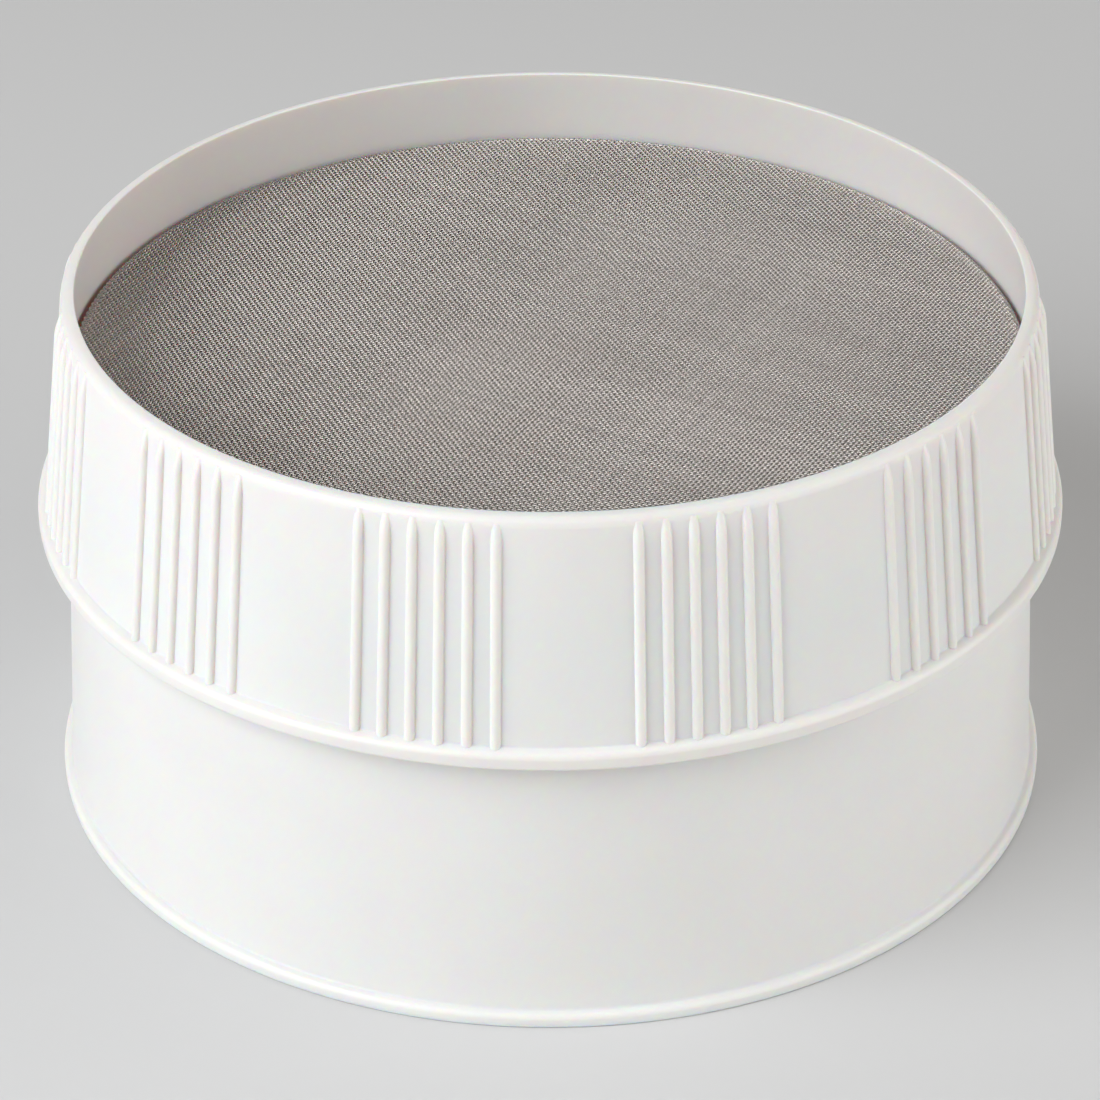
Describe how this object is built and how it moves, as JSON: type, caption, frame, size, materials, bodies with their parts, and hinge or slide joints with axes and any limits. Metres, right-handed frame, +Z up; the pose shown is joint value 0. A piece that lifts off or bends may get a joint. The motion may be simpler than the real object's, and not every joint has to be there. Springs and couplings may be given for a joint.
{
  "type": "drum sieve",
  "caption": "Round plastic flour sieve: a tapered drum, a screw-on collar with grouped grip ribs and a taut woven wire cloth that can be changed.",
  "frame": {"origin": "centre of the circle that the drum's foot bead stands on", "axes": "+Z up along the sieve's axis, -Y towards the side that the picture shows, +X to its right"},
  "size_m": [0.239, 0.239, 0.1252],
  "materials": {
    "drum_plastic": "off-white moulded nylon, satin with a soft gloss",
    "collar_plastic": "off-white moulded nylon, satin with a soft gloss",
    "wire_cloth": "plain-woven bright stainless wire",
    "hoop_steel": "rolled stainless strip"
  },
  "bodies": {
    "drum": {"drum": "drum_plastic"},
    "cloth_insert": {"sieve_cloth": "wire_cloth", "cloth_hoop": "hoop_steel"},
    "collar": {"collar": "collar_plastic"}
  },
  "joints": [
    {"name": "cloth_rise", "type": "slide", "parent": "drum", "child": "cloth_insert", "axis": [0, 0, 1], "range_m": [0, 0.014]},
    {"name": "collar_turn", "type": "hinge", "parent": "cloth_insert", "child": "collar", "pos_m": [0, 0, 0.0689], "axis": [0, 0, 1], "range_deg": [0, 360]}
  ],
  "couplings": [
    {"joint": "cloth_rise", "follows": "collar_turn", "m_per_rad": 0.002228}
  ]
}
